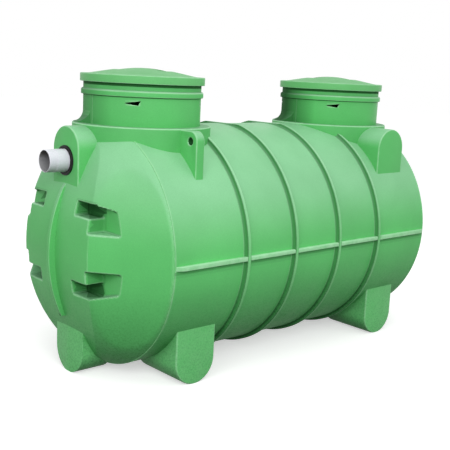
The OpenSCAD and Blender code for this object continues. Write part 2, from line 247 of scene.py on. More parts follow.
def new_group(name, ins, outs):
    """An empty shader group with the named float or colour sockets."""
    group = bpy.data.node_groups.new(name, "ShaderNodeTree")
    for label, kind, value in ins:
        socket = group.interface.new_socket(label, in_out="INPUT", socket_type=kind)
        socket.default_value = value
    for label, kind in outs:
        group.interface.new_socket(label, in_out="OUTPUT", socket_type=kind)
    return group, group.nodes.new("NodeGroupInput"), group.nodes.new("NodeGroupOutput")


# Moulded skin: cloudy tone, fine grain, paler edges of rubbed wear with a painted highlight, upward
# faces with a painted sheen on the tank and painted shade on the lids, painted shade in creases,
# recesses and on downward faces, and splashed earth specks low down, with the small waves that a
# rotation mould leaves.
FLOAT, COLOUR, VECTOR = "NodeSocketFloat", "NodeSocketColor", "NodeSocketVector"
skin, skin_in, skin_out = new_group("moulded_skin", [
    ("Base", COLOUR, (0.1, 0.4, 0.15, 1)), ("Rubbed And Lit", COLOUR, (0.4, 0.7, 0.45, 1)),
    ("Dirt And Shade", COLOUR, (0.12, 0.14, 0.08, 1)), ("Wear And Highlight", FLOAT, 0.5), ("Dirt And Shade Amount", FLOAT, 0.3),
    ("Splash Top", FLOAT, 0.45), ("Painted Top", COLOUR, (0.3, 0.65, 0.38, 1)), ("Painted Top Amount", FLOAT, 0.4)],
    [("Color", COLOUR), ("Roughness", FLOAT), ("Normal", VECTOR)])
spot = add_node(skin, "ShaderNodeTexCoord", {}).outputs["Object"]
clouds = add_node(skin, "ShaderNodeTexNoise", {"Vector": spot, "Scale": 2.6, "Detail": 3.0,
                                               "Roughness": 0.55})
grain = add_node(skin, "ShaderNodeTexNoise", {"Vector": spot, "Scale": 240.0, "Detail": 2.0})
waves = add_node(skin, "ShaderNodeTexNoise", {"Vector": spot, "Scale": 38.0, "Detail": 2.0})
patches = add_node(skin, "ShaderNodeTexNoise", {"Vector": spot, "Scale": 14.0, "Detail": 4.0,
                                                "Roughness": 0.65})
wear_and_highlight = add_node(skin, "ShaderNodeAttribute", {}, attribute_name="wear_and_highlight")
painted_shade = add_node(skin, "ShaderNodeAttribute", {}, attribute_name="painted_shade")
tone = add_node(skin, "ShaderNodeMapRange", {"Value": clouds.outputs["Fac"], "From Min": 0.3,
                                             "From Max": 0.7, "To Min": 0.93, "To Max": 1.07})
fine = add_node(skin, "ShaderNodeMapRange", {"Value": grain.outputs["Fac"], "From Min": 0.3,
                                             "From Max": 0.7, "To Min": 0.95, "To Max": 1.05})
shade = add_node(skin, "ShaderNodeMath", {0: tone.outputs[0], 1: fine.outputs[0]},
                 operation="MULTIPLY")
facing = add_node(skin, "ShaderNodeNewGeometry", {}).outputs["Normal"]
upward = add_node(skin, "ShaderNodeSeparateXYZ", {0: facing}).outputs["Z"]
# Upward faces are mixed toward the painted-top colour: painted sheen where it is paler, painted
# shade where it is darker.
top_light_mask = add_node(skin, "ShaderNodeMapRange", {"Value": upward, "From Min": 0.04,
                                               "From Max": 0.6}, interpolation_type="SMOOTHSTEP")
top_light_mask = add_node(skin, "ShaderNodeMath", {0: top_light_mask.outputs[0], 1: tone.outputs[0]},
                  operation="MULTIPLY")
top_light_mask = add_node(skin, "ShaderNodeMath", {0: top_light_mask.outputs[0], 1: skin_in.outputs["Painted Top Amount"]},
                  operation="MULTIPLY", use_clamp=True)
painted_top = add_node(skin, "ShaderNodeMix", {"Factor": top_light_mask.outputs[0], 6: skin_in.outputs["Base"],
                                         7: skin_in.outputs["Painted Top"]}, data_type="RGBA")
base = add_node(skin, "ShaderNodeVectorMath", {0: painted_top.outputs[2],
                                               "Scale": shade.outputs[0]}, operation="SCALE")
# Convex edges and the listed places get rubbed wear with a painted highlight.
patchy = add_node(skin, "ShaderNodeMapRange", {"Value": patches.outputs["Fac"], "From Min": 0.3,
                                               "From Max": 0.6, "To Min": 0.45, "To Max": 1.0})
rub_and_light = add_node(skin, "ShaderNodeMath", {0: wear_and_highlight.outputs["Fac"], 1: patchy.outputs[0]},
               operation="MULTIPLY")
rub_and_light = add_node(skin, "ShaderNodeMath", {0: rub_and_light.outputs[0], 1: skin_in.outputs["Wear And Highlight"]},
               operation="MULTIPLY", use_clamp=True)
rubbed_and_lit = add_node(skin, "ShaderNodeMix", {"Factor": rub_and_light.outputs[0], 6: base.outputs[0],
                                          7: skin_in.outputs["Rubbed And Lit"]}, data_type="RGBA")
height = add_node(skin, "ShaderNodeSeparateXYZ", {0: spot}).outputs["Z"]
low_down = add_node(skin, "ShaderNodeMapRange", {"Value": height, "From Min": 0.0,
                                                 "From Max": skin_in.outputs["Splash Top"],
                                                 "To Min": 1.0, "To Max": 0.0})
specks = add_node(skin, "ShaderNodeTexNoise", {"Vector": spot, "Scale": 110.0, "Detail": 4.0,
                                               "Roughness": 0.7})
splash_and_underside_shade = add_node(skin, "ShaderNodeMapRange", {"Value": specks.outputs["Fac"], "From Min": 0.46,
                                               "From Max": 0.74, "To Max": 0.8})
# Downward faces are darkened: painted shade.
underside_shade = add_node(skin, "ShaderNodeMapRange", {"Value": upward, "From Min": -0.9, "From Max": -0.12,
                                             "To Min": 0.9, "To Max": 0.0})
splash_and_underside_shade = add_node(skin, "ShaderNodeMath", {0: splash_and_underside_shade.outputs[0], 1: low_down.outputs[0],
                                           2: underside_shade.outputs[0]}, operation="MULTIPLY_ADD")
# Painted shade from creases and the listed places, with the splash specks and the painted underside
# shade, is mixed toward the dark colour.
dirt_and_shade_mix = add_node(skin, "ShaderNodeMath", {0: painted_shade.outputs["Fac"], 1: 0.6, 2: splash_and_underside_shade.outputs[0]},
                operation="MULTIPLY_ADD")
dirt_and_shade_mix = add_node(skin, "ShaderNodeMath", {0: dirt_and_shade_mix.outputs[0], 1: skin_in.outputs["Dirt And Shade Amount"]},
                operation="MULTIPLY", use_clamp=True)
dirtied_and_shaded = add_node(skin, "ShaderNodeMix", {"Factor": dirt_and_shade_mix.outputs[0], 6: rubbed_and_lit.outputs[2],
                                          7: skin_in.outputs["Dirt And Shade"]}, data_type="RGBA")
skin.links.new(dirtied_and_shaded.outputs[2], skin_out.inputs["Color"])
rough = add_node(skin, "ShaderNodeMapRange", {"Value": patches.outputs["Fac"], "From Min": 0.3,
                                              "From Max": 0.7, "To Min": 0.36, "To Max": 0.46})
rough = add_node(skin, "ShaderNodeMath", {0: dirt_and_shade_mix.outputs[0], 1: 0.35, 2: rough.outputs[0]},
                 operation="MULTIPLY_ADD")
skin.links.new(rough.outputs[0], skin_out.inputs["Roughness"])
wavy = add_node(skin, "ShaderNodeBump", {"Height": waves.outputs["Fac"], "Strength": 0.25,
                                         "Distance": 0.0012})
peel = add_node(skin, "ShaderNodeBump", {"Height": grain.outputs["Fac"], "Strength": 0.3,
                                         "Distance": 0.0004, "Normal": wavy.outputs[0]})
skin.links.new(peel.outputs[0], skin_out.inputs["Normal"])


def moulded(name, base, rubbed_and_lit, dirt_and_shade, rub_and_highlight, dirt_and_shade_amount, splash_top, painted_top, painted_top_amount):
    """A satin moulded polyethylene in one colour."""
    paint = bpy.data.materials.new(name)
    paint.use_nodes = True
    tree = paint.node_tree
    shader = tree.nodes["Principled BSDF"]
    look = add_node(tree, "ShaderNodeGroup", {}, node_tree=skin)
    for label, value in (("Base", base), ("Rubbed And Lit", rubbed_and_lit), ("Dirt And Shade", dirt_and_shade), ("Wear And Highlight", rub_and_highlight),
                         ("Dirt And Shade Amount", dirt_and_shade_amount), ("Splash Top", splash_top), ("Painted Top", painted_top),
                         ("Painted Top Amount", painted_top_amount)):
        look.inputs[label].default_value = value
    tree.links.new(look.outputs["Color"], shader.inputs["Base Color"])
    tree.links.new(look.outputs["Roughness"], shader.inputs["Roughness"])
    tree.links.new(look.outputs["Normal"], shader.inputs["Normal"])
    shader.inputs["IOR"].default_value = 1.5
    shader.inputs["Specular IOR Level"].default_value = 0.17
    return paint


# Dark green for dirt and painted shade. The tank's painted-top colour is paler than its base: a
# painted sheen on upward faces.
shade_and_dirt_green = (0.014, 0.10, 0.022, 1)
tank_green = moulded("tank_green", base=(0.108, 0.50, 0.142, 1), rubbed_and_lit=(0.40, 0.73, 0.44, 1),
                     dirt_and_shade=shade_and_dirt_green, rub_and_highlight=0.5, dirt_and_shade_amount=0.7, splash_top=0.62,
                     painted_top=(0.34, 0.58, 0.41, 1), painted_top_amount=0.5)


def finish_piece(piece, paint, slot, *nodes, angle=35, painted_shade_at=None, rubbed_and_lit=None):
    """Smooths a moulded piece, paints it, and puts it in the place of its plain nodes. The two
    place functions give how much painted shade and how much rubbed wear with painted highlight a
    face gets at a place, besides its own edges."""
    only(piece)
    bpy.ops.object.shade_smooth_by_angle(angle=math.radians(angle))
    mark_edges(piece)
    for label, gives in (("painted_shade", painted_shade_at), ("wear_and_highlight", rubbed_and_lit)):
        if gives:
            marks = piece.data.attributes[label].data
            for face in piece.data.polygons:
                marks[face.index].value = max(marks[face.index].value, gives(face.center))
    piece.data.materials.clear()
    piece.data.materials.append(paint)
    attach(piece, "root")
    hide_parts(*nodes)




def flange_shadow(place):
    """Painted shadow on the barrel just under the side flanges, fading out downwards."""
    below = axis_z - under_flange - place.z
    return flange_shadow_depth * max(0, 1 - below / flange_shadow_fade) if below > 0 else 0


on_axis = Vector((0, 0, axis_z))
outside = [(barrel_r, -half_l + bead_w * 2), (barrel_r, -half_l + bead_w),
           (barrel_r + bead_h, -half_l + bead_w * 0.4), (barrel_r + bead_h * 0.6, -half_l)]
barrel = ring_up("barrel", "X", on_axis,
                 [(barrel_r - barrel_wall, half_l), (barrel_r - barrel_wall, -half_l)]
                 + outside[::-1] + [(r, -x) for r, x in outside], 256, "loop")
finish_piece(barrel, tank_green, "tank_shell", "barrel_top", "barrel_bottom",
             painted_shade_at=flange_shadow)

# ---- Ribs -------------------------------------------------------------------------------------
# Four hoops moulded into the barrel stiffen it against the weight of earth. Their edges are
# rounded and their roots flow into the wall. The middle two are cut level with the manholes'
# ledges on top, and the outer two stop at the collars.
rib_flare, rib_edge, root_curve = 0.015, 0.0035, 0.7
rib_root, rib_flank_shade, rib_face_highlight = 0.004, 1.5, 0.6
necks = [sum(corner.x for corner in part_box(side + "_lid")) / 2 for side in ("inlet", "outlet")]
collar_low, collar_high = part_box("inlet_collar")
collar_r = (collar_high.y - collar_low.y) / 2


def modify(piece, kind, **settings):
    """Applies one modifier with the given settings."""
    only(piece)
    modifier = piece.modifiers.new(kind.lower(), kind)
    for field, value in settings.items():
        setattr(modifier, field, value)
    bpy.ops.object.modifier_apply(modifier=modifier.name)


def drill(piece, cutter, operation="DIFFERENCE"):
    """Cuts piece with cutter, and clears the cutter away."""
    modify(piece, "BOOLEAN", operation=operation, solver="EXACT", object=cutter)
    bpy.data.objects.remove(cutter)


def rod(name, axis, centre, radius, length, vertices=96):
    """A plain round bar along an axis, as a start for a piece or as a cutter."""
    bpy.ops.object.select_all(action="DESELECT")
    bpy.ops.mesh.primitive_cylinder_add(vertices=vertices, radius=radius, depth=length,
                                        location=centre, rotation=TURNS[axis])
    piece = bpy.context.object
    piece.name = piece.data.name = name
    set_in_place(piece)
    return piece


def block(name, low, high):
    """A box between two corners, as a start for a piece or as a cutter."""
    low, high = Vector(low), Vector(high)
    bpy.ops.object.select_all(action="DESELECT")
    bpy.ops.mesh.primitive_cube_add(size=1, location=(low + high) / 2)
    piece = bpy.context.object
    piece.name = piece.data.name = name
    piece.scale = high - low
    set_in_place(piece)
    return piece


for number in range(1, 5):
    name = "rib_%d" % number
    rib_low, rib_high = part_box(name)
    middle, half_w = (rib_low.x + rib_high.x) / 2, (rib_high.x - rib_low.x) / 2
    rib_r = -rib_low.y
    half = [(barrel_r - rib_root, -half_w - rib_flare)]
    for i in range(7):
        a = math.pi / 2 * i / 6
        half.append((barrel_r + 0.0003 + root_curve * (rib_r - barrel_r) * (1 - math.cos(a)),
                     -half_w - rib_flare * (1 - math.sin(a))))
    half = half[:-1] + rounded([half[-1], (rib_r, -half_w + 0.0005), (rib_r, 0)], rib_edge)
    rib = ring_up(name, "X", Vector((middle, 0, axis_z)),
                  half + [(r, -x) for r, x in half[::-1]], 256, "loop")
    for neck_x in necks:
        if abs(middle - neck_x) < collar_r + half_w:
            drill(rib, rod("collar_space", "Z", (neck_x, 0, axis_z + 1), collar_r - rib_root, 2,
                           256))
    if abs(middle) < abs(necks[0]) - collar_r - half_w:
        drill(rib, block("level", (middle - 0.05, -barrel_r, collar_high.z),
                         (middle + 0.05, barrel_r, collar_high.z + 0.1)))

    def off_middle(place):
        return abs(place.x - middle)

    # Painted shade on the rib's flanks and a painted highlight on its outer face.
    finish_piece(rib, tank_green, "tank_shell", name,
                 painted_shade_at=lambda place: rib_flank_shade * (off_middle(place) > half_w - 0.003)
                 * min(1, (half_w + rib_flare + 0.002 - off_middle(place)) / 0.009),
                 rubbed_and_lit=lambda place: rib_face_highlight * (off_middle(place) < half_w - 0.003))

# ---- Side flanges -----------------------------------------------------------------------------
# The mould's two halves part along the sides, where a flange runs the length of the barrel in
# lengths between the ribs. Its outer ends taper down to the wall.
flange_low, flange_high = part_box("front_flange")
flange_taper, flange_edge = 0.042, 0.0045
flange_underside_shade, flange_top_highlight = 1.6, 1.7
rib_spans = sorted(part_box("rib_%d" % n)[i].x for n in range(1, 5) for i in (0, 1))
stops = [-half_l] + rib_spans + [half_l]


def pick(piece, kind, test):
    """Opens the piece in edit mode with just the vertices, edges or faces that pass the test."""
    only(piece)
    bpy.ops.object.mode_set(mode="EDIT")
    bpy.ops.mesh.select_mode(type=kind)
    bpy.ops.mesh.select_all(action="DESELECT")
    bpy.ops.object.mode_set(mode="OBJECT")
    mesh = piece.data
    if kind == "VERT":
        for v in mesh.vertices:
            v.select = test(v.co)
    elif kind == "EDGE":
        for e in mesh.edges:
            e.select = test(*(mesh.vertices[i].co for i in e.vertices))
    else:
        for f in mesh.polygons:
            f.select = test(f.center, f.normal)
    bpy.ops.object.mode_set(mode="EDIT")


def done():
    """Leaves edit mode."""
    bpy.ops.object.mode_set(mode="OBJECT")


def soften(piece, width, angle=40, segments=3):
    """Rounds every edge that is sharper than the angle."""
    modify(piece, "BEVEL", width=width, segments=segments, limit_method="ANGLE",
           angle_limit=math.radians(angle))


def join(name, pieces):
    """Makes several solids one piece, without fusing them."""
    bpy.ops.object.select_all(action="DESELECT")
    for piece in pieces:
        piece.select_set(True)
    bpy.context.view_layer.objects.active = pieces[0]
    bpy.ops.object.join()
    pieces[0].name = pieces[0].data.name = name
    return pieces[0]


def half_turn(piece, name):
    """A copy of a piece with its own mesh, turned half round about the middle of the tank."""
    only(piece)
    bpy.ops.object.duplicate()
    twin = bpy.context.object
    twin.name = twin.data.name = name
    bpy.ops.transform.rotate(value=math.pi, orient_axis="Z", center_override=(0, 0, 0))
    set_in_place(twin)
    return twin


lengths = []
for start, end in zip(stops[::2], stops[1::2]):
    bar = block("flange_length", (start, flange_low.y, flange_low.z),
                (end, -barrel_r + 0.006, flange_high.z))
    for tip, inward in ((start, 1), (end, -1)):
        if abs(abs(tip) - half_l) < 1e-6:
            pick(bar, "VERT", lambda co: abs(co.x - tip) < 1e-5 and co.y < -barrel_r)
            bpy.ops.transform.translate(value=(0, -barrel_r - flange_low.y + 0.002, 0))
            done()
            cut_at = tip + inward * flange_taper
            pick(bar, "FACE", lambda centre, normal: True)
            bpy.ops.mesh.bisect(plane_co=(cut_at, 0, 0), plane_no=(1, 0, 0))
            done()
            pick(bar, "VERT", lambda co: abs(co.x - cut_at) < 1e-5 and co.y < -barrel_r)
            bpy.ops.transform.resize(value=(1, 0, 1), center_override=(0, flange_low.y, axis_z))
            done()
    soften(bar, flange_edge, 25)
    lengths.append(bar)
front_flange = join("front_flange", lengths)
rear_flange = half_turn(front_flange, "rear_flange")
for face, piece in (("front", front_flange), ("rear", rear_flange)):
    # Painted shadow on each flange's underside and a painted highlight on its top.
    finish_piece(piece, tank_green, "tank_shell", face + "_flange",
                 painted_shade_at=lambda place: flange_underside_shade * (place.z < flange_low.z + 0.003),
                 rubbed_and_lit=lambda place: flange_top_highlight * (place.z > flange_low.z + 0.004))

# ---- Dished ends ------------------------------------------------------------------------------
# Each end of the moulding is a shallow dish with flatter sides and a bowed middle panel, folded
# along a faint upright ridge. Four stepped pockets in it take lashing straps.
end_x = -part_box("inlet_end_bottom")[0].x
dish_r, knuckle_r, knuckle_edge = 0.814, 0.418, math.radians(24)
panel_r, panel_fold = 0.947, math.radians(1.5)
side_turn = math.radians(39)
side_d = (half_l + 0.006) * math.cos(side_turn) + barrel_r * math.sin(side_turn)
side_r = barrel_r / math.sin(side_turn)
pocket_floor = end_x - 0.116
pocket_y, pocket_y2, pocket_far = 0.147, 0.272, 0.502
pocket_h2, pocket_h, pocket_slant = 0.068, 0.070, math.radians(15)
pocket_up, pocket_dn, pocket_shade_depth = 0.132, 0.050, 3.2
pipe_way_r, first_cell, last_cell, triangles_kept = 0.060, 0.009, 0.0043, 0.48
knuckle_c = barrel_r - knuckle_r * math.cos(knuckle_edge)
knuckle_x = half_l - knuckle_r * math.sin(knuckle_edge)
dish_x = knuckle_x - math.sqrt((dish_r - knuckle_r) ** 2 - knuckle_c ** 2)
dish_turn = math.atan2(knuckle_c, knuckle_x - dish_x)


def bowed_cutter(foot, distance, radius, turn):
    """A large upright-bowed roller whose nearest line is at a distance from foot, turned."""
    centre = foot + Matrix.Rotation(turn, 4, "Z") @ Vector((radius - distance, 0, 0))
    bpy.ops.object.select_all(action="DESELECT")
    bpy.ops.mesh.primitive_cylinder_add(vertices=720, radius=radius, depth=4, location=centre,
                                        rotation=(math.pi / 2, 0, turn))
    set_in_place(bpy.context.object)
    return bpy.context.object


def bore_for_pipe(piece, side, radius):
    """Cuts the round way that the pipe and its seal take through a piece."""
    pipe_low, pipe_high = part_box(side + "_pipe")
    middle = math.copysign(end_x - 0.1, pipe_low.x)
    drill(piece, rod("pipe_way", "X", (middle, 0, (pipe_low.z + pipe_high.z) / 2), radius, 0.6))


back_x = -half_l + 0.050
outline = [(barrel_r * 0.5, back_x), (barrel_r - 0.005, back_x), (barrel_r - 0.005, -half_l + 0.003),
           (barrel_r - 0.0005, -half_l)]
for i in range(1, 25):
    a = knuckle_edge + (math.pi / 2 - dish_turn - knuckle_edge) * i / 24
    outline.append((knuckle_c + knuckle_r * math.cos(a), -knuckle_x - knuckle_r * math.sin(a)))
for i in range(1, 25):
    a = dish_turn * (1 - i / 24)
    outline.append((max(dish_r * math.sin(a), 0.001), -dish_x - dish_r * math.cos(a)))
end_former = ring_up("end_former", "X", on_axis, outline, 256, "poles")
for turn in (side_turn, -side_turn):
    drill(end_former, bowed_cutter(on_axis, side_d, side_r, turn), "INTERSECT")
modify(end_former, "REMESH", mode="VOXEL", voxel_size=first_cell)
pick(end_former, "VERT", lambda co: co.x < -half_l - 0.035)
bpy.ops.mesh.vertices_smooth(factor=0.5, repeat=24)
done()
for turn in (panel_fold, -panel_fold):
    foot = Vector((-end_x, 0, axis_z))
    drill(end_former, bowed_cutter(foot, 0, panel_r, turn), "INTERSECT")

inlet_end = end_former.copy()
inlet_end.data = end_former.data.copy()
scene.collection.objects.link(inlet_end)
inlet_end.name = inlet_end.data.name = "inlet_end"
for hand in (1, -1):
    for up, foot_z in ((1, axis_z + pocket_up), (-1, axis_z - pocket_dn)):
        z0, z1, z2 = (foot_z + up * z for z in (0, pocket_h2, pocket_h2 + pocket_h))
        ys = sorted((hand * pocket_y, hand * (pocket_y2 + 0.02)))
        step = block("pocket_long", (-end_x - 0.05, ys[0], min(z1, z2)),
                     (-pocket_floor, ys[1], max(z1, z2)))
        drill(inlet_end, step)
        ys = sorted((hand * pocket_y2, hand * pocket_far))
        step = block("pocket_short", (-end_x - 0.05, ys[0], min(z0, z2)),
                     (-pocket_floor, ys[1], max(z0, z2)))
        pick(step, "VERT", lambda co: abs(co.y) > pocket_far - 1e-4 and abs(co.z - z2) < 1e-4)
        drop = (pocket_far - pocket_y2) * math.tan(pocket_slant)
        bpy.ops.transform.translate(value=(0, 0, -up * drop))
        done()
        drill(inlet_end, step)
modify(inlet_end, "REMESH", mode="VOXEL", voxel_size=last_cell)
pick(inlet_end, "VERT", lambda co: co.x < -half_l - 0.004)
bpy.ops.mesh.vertices_smooth(factor=0.5, repeat=2)
done()
modify(inlet_end, "DECIMATE", ratio=triangles_kept)
pick(inlet_end, "FACE", lambda centre, normal: normal.x > 0.9 and centre.x > back_x - 0.004)
bpy.ops.mesh.delete(type="FACE")
bpy.ops.mesh.select_mode(type="EDGE")
bpy.ops.mesh.select_non_manifold()
bpy.ops.mesh.edge_face_add()
done()
outlet_end = half_turn(inlet_end, "outlet_end")


def pocket_shade(place):
    """Painted shade in the deep inner part of each strap pocket."""
    deep = (end_x - 0.035 - abs(place.x)) / 0.08
    inner = min((pocket_y2 + 0.03 - abs(place.y)) / 0.10, (abs(place.y) - pocket_y + 0.01) / 0.005)
    tall = abs(place.z - axis_z - (pocket_up - pocket_dn) / 2)
    return pocket_shade_depth * max(0, min(deep, inner, 1)) * (0.08 < tall < 0.24)


for side, piece in (("inlet", inlet_end), ("outlet", outlet_end)):
    bore_for_pipe(piece, side, pipe_way_r)
    finish_piece(piece, tank_green, "tank_shell", side + "_end_top", side + "_end_bottom",
                 painted_shade_at=pocket_shade)

# ---- End fins ---------------------------------------------------------------------------------
# An upright fin with a bowed edge stands on the middle of each end panel and stiffens it.
fin_low, fin_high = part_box("inlet_fin")
fin_r, fin_drop, fin_edge = 0.740, 0.0165, 0.0055
fin_back = Vector((-end_x + 0.080, 0, 0))
slope_foot, slope_facing = Vector((-end_x + 0.140, 0, axis_z + 0.436)), (-0.7926, 0, 0.6097)
fin = rod("inlet_fin", "Y", Vector((fin_low.x + fin_r, 0, axis_z - fin_drop)), fin_r,
          fin_high.y - fin_low.y, 360)


def bisect(piece, point, facing, clear):
    """Cuts a piece with a plane. What lies behind the plane, "inner", or before it, "outer", is
    cleared away and the cut is closed."""
    pick(piece, "FACE", lambda centre, normal: True)
    bpy.ops.mesh.bisect(plane_co=point, plane_no=facing, use_fill=True,
                        clear_inner=clear == "inner", clear_outer=clear == "outer")
    done()


bisect(fin, fin_back, (1, 0, 0), "outer")
bisect(fin, (0, 0, fin_low.z), (0, 0, 1), "inner")
bisect(fin, slope_foot, slope_facing, "outer")
soften(fin, fin_edge)
finish_piece(fin, tank_green, "tank_shell", "inlet_fin")
finish_piece(half_turn(fin, "outlet_fin"), tank_green, "tank_shell", "outlet_fin")

# ---- Collars ----------------------------------------------------------------------------------
# A round collar rises from the barrel and the dished end round each manhole, moulded in one with
# them. Its flat ledge carries the neck.
ledge_z = collar_high.z
bore_r = 0.294
collar_shade, ledge_shadow = 0.35, 0.8
wall_low = collar_low.z - 0.012
outside = rounded([(collar_r, wall_low + 0.02), (collar_r, ledge_z), (bore_r + 0.004, ledge_z)],
                  0.007)
steps = [(bore_r, wall_low), (collar_r, wall_low)] + outside + [(bore_r, ledge_z)]
inlet_collar = ring_up("inlet_collar", "Z", Vector((necks[0], 0, 0)), steps, 256, "loop")
drill(inlet_collar, rod("barrel_space", "X", on_axis, barrel_r - 0.007, 2 * half_l - 0.06, 256))
outlet_collar = half_turn(inlet_collar, "outlet_collar")
for side, piece in (("inlet", inlet_collar), ("outlet", outlet_collar)):
    bore_for_pipe(piece, side, pipe_way_r)
    # Painted shade on the collar's wall below the ledge and a painted shadow on the ledge.
    finish_piece(piece, tank_green, "tank_shell", side + "_collar",
                 painted_shade_at=lambda place: collar_shade if place.z < ledge_z - 0.008
                 else ledge_shadow * (place.z > ledge_z - 0.0005))

# ---- Necks ------------------------------------------------------------------------------------
# Each manhole has a plain round neck, moulded in one with the tank, with a raised bead below its
# lid and four small wedge slots for hooks. A swept fairing braces its foot on the ledge, on the
# side that lies towards the inlet and the rear.
neck_r = 0.304
neck_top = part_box("outlet_neck")[1].z
bead_low, bead_out = axis_z + 0.766, 0.011
slot_z, slot_deep = axis_z + 0.738, 0.020
lid_low, lid_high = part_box("inlet_lid")
profile = [(bore_r, slot_z - 0.013), (bore_r, ledge_z - 0.004), (neck_r, ledge_z - 0.004),
           (neck_r, slot_z - 0.013)]
profile += rounded([(neck_r, slot_z + 0.013), (neck_r, bead_low),
                    (neck_r + bead_out, bead_low + 0.002), (neck_r + bead_out, bead_low + 0.026),
                    (neck_r + 0.006, bead_low + 0.031), (neck_r, bead_low + 0.032),
                    (neck_r, bead_low + 0.05)], 0.003)
profile += rounded([(neck_r, lid_low.z - 0.014), (neck_r, neck_top - 0.0005),
                    (bore_r + 0.002, neck_top - 0.0005)], 0.004)
profile += [(bore_r, neck_top - 0.0005), (bore_r, slot_z + 0.013)]
fairing_h, fairing_edge, neck_edge = 0.062, 0.006, 0.0015
fairing_span = (98, 177)
ridge_turn, run_out_turn = math.radians(157), math.radians(176)
shade_turn, shade_spread = 152, 52
inlet_side_shade, outlet_side_shade, rim_shadow, above_bead_shade, fairing_shade = 1.5, 2.7, 2.4, 0.5, 1.6
seam_w, seam_t = 0.0012, 0.002
fairing = [(neck_r - 0.006, ledge_z - 0.014), (collar_r - 0.003, ledge_z - 0.014),
           (collar_r - 0.003, ledge_z - 0.001)]
for i in range(1, 13):
    a = math.pi / 2 * (1 - i / 12)
    fairing.append((collar_r - 0.002 - (collar_r - 0.002 - neck_r) * math.cos(a),
                    ledge_z + fairing_h * (1 - math.sin(a))))
fairing.append((neck_r - 0.006, ledge_z + fairing_h))


def rotated(piece, degrees, centre):
    """Turns a piece about an upright line through centre."""
    only(piece)
    bpy.ops.transform.rotate(value=math.radians(degrees), orient_axis="Z",
                             center_override=centre)
    set_in_place(piece)


def neck_shade(place, foot):
    """Painted shadow under the lid's rim, painted shade above the bead and on the fairing, and a
    broad band of painted shade down the side that faces the inlet, darker on the outlet's neck."""
    turn = math.degrees(math.atan2(place.y - foot.y, place.x - foot.x)) % 360
    side_shade = outlet_side_shade if foot.x > 0 else inlet_side_shade
    band = 0
    if place.z > lid_low.z - 0.014:
        band = rim_shadow
    elif place.z > bead_low + 0.034:
        band = above_bead_shade
    if place.z < ledge_z + fairing_h and (place.xy - foot.xy).length > neck_r + 0.003:
        band = fairing_shade
    return max(band, side_shade * max(0, 1 - abs(turn - shade_turn) / shade_spread) ** 0.8)


for side, neck_x in zip(("inlet", "outlet"), necks):
    foot = Vector((neck_x, 0, 0))
    neck = ring_up(side + "_neck", "Z", foot, profile, 256, "loop")
    for turn in (45, 135, 225, 315):
        slot = block("slot", (-0.039, -neck_r - 0.02, slot_z - 0.011),
                     (0.039, -neck_r + slot_deep, slot_z + 0.011))
        for x, up, move in ((-1, -1, (0.005, 0, 0.0073)), (-1, 1, (0, 0, -0.011)),
                            (1, -1, (-0.013, 0, 0))):
            pick(slot, "VERT", lambda co: co.x * x > 0 and (co.z - slot_z) * up > 0)
            bpy.ops.transform.translate(value=move)
            done()
        rotated(slot, turn + 90, (0, 0, 0))
        bpy.ops.transform.translate(value=foot)
        set_in_place(slot)
        drill(neck, slot)
    soften(neck, neck_edge, 50, 2)
    sweep = ring_up("fairing", "Z", foot, fairing, 256, "loop")
    for turn, clear in zip(fairing_span, ("inner", "outer")):
        a = math.radians(turn)
        bisect(sweep, foot, (-math.sin(a), math.cos(a), 0), clear)
    ridge = foot + Vector((math.cos(ridge_turn), math.sin(ridge_turn), 0)) * collar_r
    run_out = foot + Vector((math.cos(run_out_turn), math.sin(run_out_turn), 0)) * neck_r
    bisect(sweep, run_out, (ridge - run_out).cross(AXES["Z"]), "inner")
    soften(sweep, fairing_edge, 50)
    seams = [block("seam", (neck_x + hand * neck_r - seam_w, -seam_t, ledge_z),
                   (neck_x + hand * neck_r + seam_w, seam_t, bead_low + 0.002))
             for hand in (1, -1)]
    neck = join(side + "_neck", [neck, sweep] + seams)
    finish_piece(neck, tank_green, "tank_shell", side + "_neck",
                 painted_shade_at=lambda place: neck_shade(place, foot))

# ---- Lids -------------------------------------------------------------------------------------
# A domed lid of the same plastic covers each neck. Its rim hangs over the neck's top, and two
# opposite quarters of the crown are sunk to give a grip for turning it.
lid_r = (lid_high.y - lid_low.y) / 2
lid_t, lid_edge, dome_r, dome_h, dome_tip = 0.008, 0.0025, 0.290, 0.036, 0.002
grip_z, grip_web, grip_wall_shade = axis_z + 0.896, 0.006, 1.4
# The lids' painted-top colour is darker than their base: painted shade on their upward faces.
lid_green = moulded("lid_green", base=(0.14, 0.49, 0.165, 1), rubbed_and_lit=(0.38, 0.72, 0.42, 1),
                    dirt_and_shade=shade_and_dirt_green, rub_and_highlight=0.6, dirt_and_shade_amount=0.6, splash_top=0.2,
                    painted_top=(0.10, 0.38, 0.13, 1), painted_top_amount=0.6)


def dome_z(radius):
    """Height of the lid's dome at a radius."""
    return neck_top + lid_t + dome_h * (1 - (min(radius, dome_r) / dome_r) ** 2) ** 1.3


